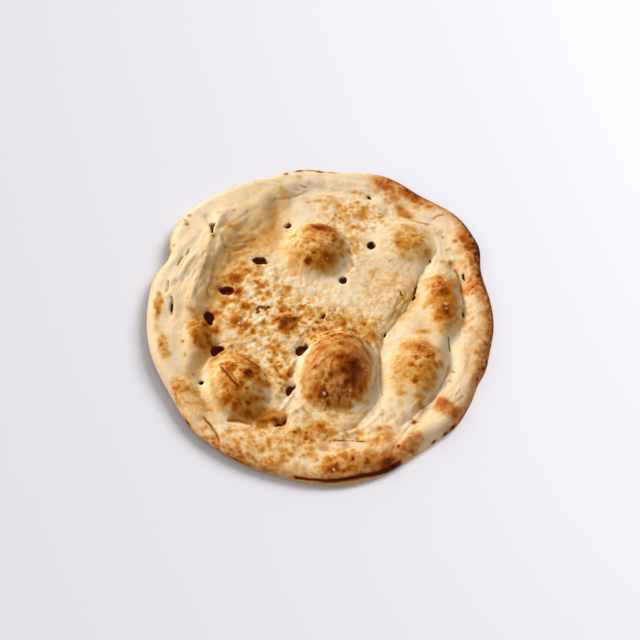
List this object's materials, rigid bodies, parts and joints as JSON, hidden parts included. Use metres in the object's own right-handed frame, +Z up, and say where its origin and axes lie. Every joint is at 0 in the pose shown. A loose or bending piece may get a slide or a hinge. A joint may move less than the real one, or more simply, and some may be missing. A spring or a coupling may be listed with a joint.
{
  "type": "naan bread",
  "caption": "Round flat leavened bread with a puffed uneven rim, browned air bubbles and docking holes over a flat underside.",
  "frame": {"origin": "middle of the bread's footprint, on the surface it rests on", "axes": "+Z up out of the browned top, +X to the right and +Y to the back, with the largest bubble towards the front"},
  "size_m": [0.2088, 0.2264, 0.02],
  "materials": {
    "crust": "soft baked dough, cream with golden to dark brown patches"
  },
  "bodies": {
    "root": {"naan_bread": "crust"}
  },
  "joints": []
}
